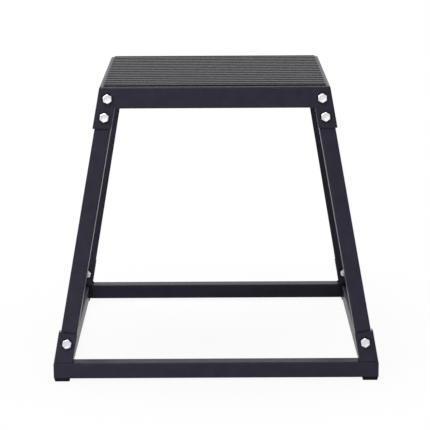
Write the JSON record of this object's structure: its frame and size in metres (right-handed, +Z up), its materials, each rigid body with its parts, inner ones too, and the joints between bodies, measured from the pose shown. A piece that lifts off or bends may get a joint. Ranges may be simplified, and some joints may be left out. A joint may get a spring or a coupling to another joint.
{
  "type": "plyo box",
  "caption": "Steel plyo box: ribbed rubber mat on a folded steel tray, splayed square-tube legs bolted to corner plates, and a welded square-tube base on rubber feet.",
  "frame": {"origin": "on the floor, under the middle of the box", "axes": "+Z up, front towards -Y, +X to the right as seen from the front"},
  "size_m": [0.51, 0.511, 0.457],
  "materials": {
    "powder_coat": "satin black powder coat",
    "mat_rubber": "matt ribbed rubber",
    "foot_rubber": "matt moulded rubber",
    "zinc_steel": "bright zinc plate"
  },
  "bodies": {
    "root": {"rubber_mat": "mat_rubber", "deck_tray": "powder_coat", "deck_brace_left": "powder_coat", "deck_brace_right": "powder_coat", "socket_front_left": "powder_coat", "socket_front_right": "powder_coat", "socket_rear_left": "powder_coat", "socket_rear_right": "powder_coat", "leg_front_left": "powder_coat", "leg_front_right": "powder_coat", "leg_rear_left": "powder_coat", "leg_rear_right": "powder_coat", "bracket_front_left": "powder_coat", "bracket_front_right": "powder_coat", "bracket_rear_left": "powder_coat", "bracket_rear_right": "powder_coat", "rail_front": "powder_coat", "rail_rear": "powder_coat", "rail_left": "powder_coat", "rail_right": "powder_coat", "foot_front_left": "foot_rubber", "foot_front_right": "foot_rubber", "foot_rear_left": "foot_rubber", "foot_rear_right": "foot_rubber", "socket_bolts": "zinc_steel", "base_bolts": "zinc_steel", "socket_nuts": "zinc_steel", "base_nuts": "zinc_steel"}
  },
  "joints": []
}
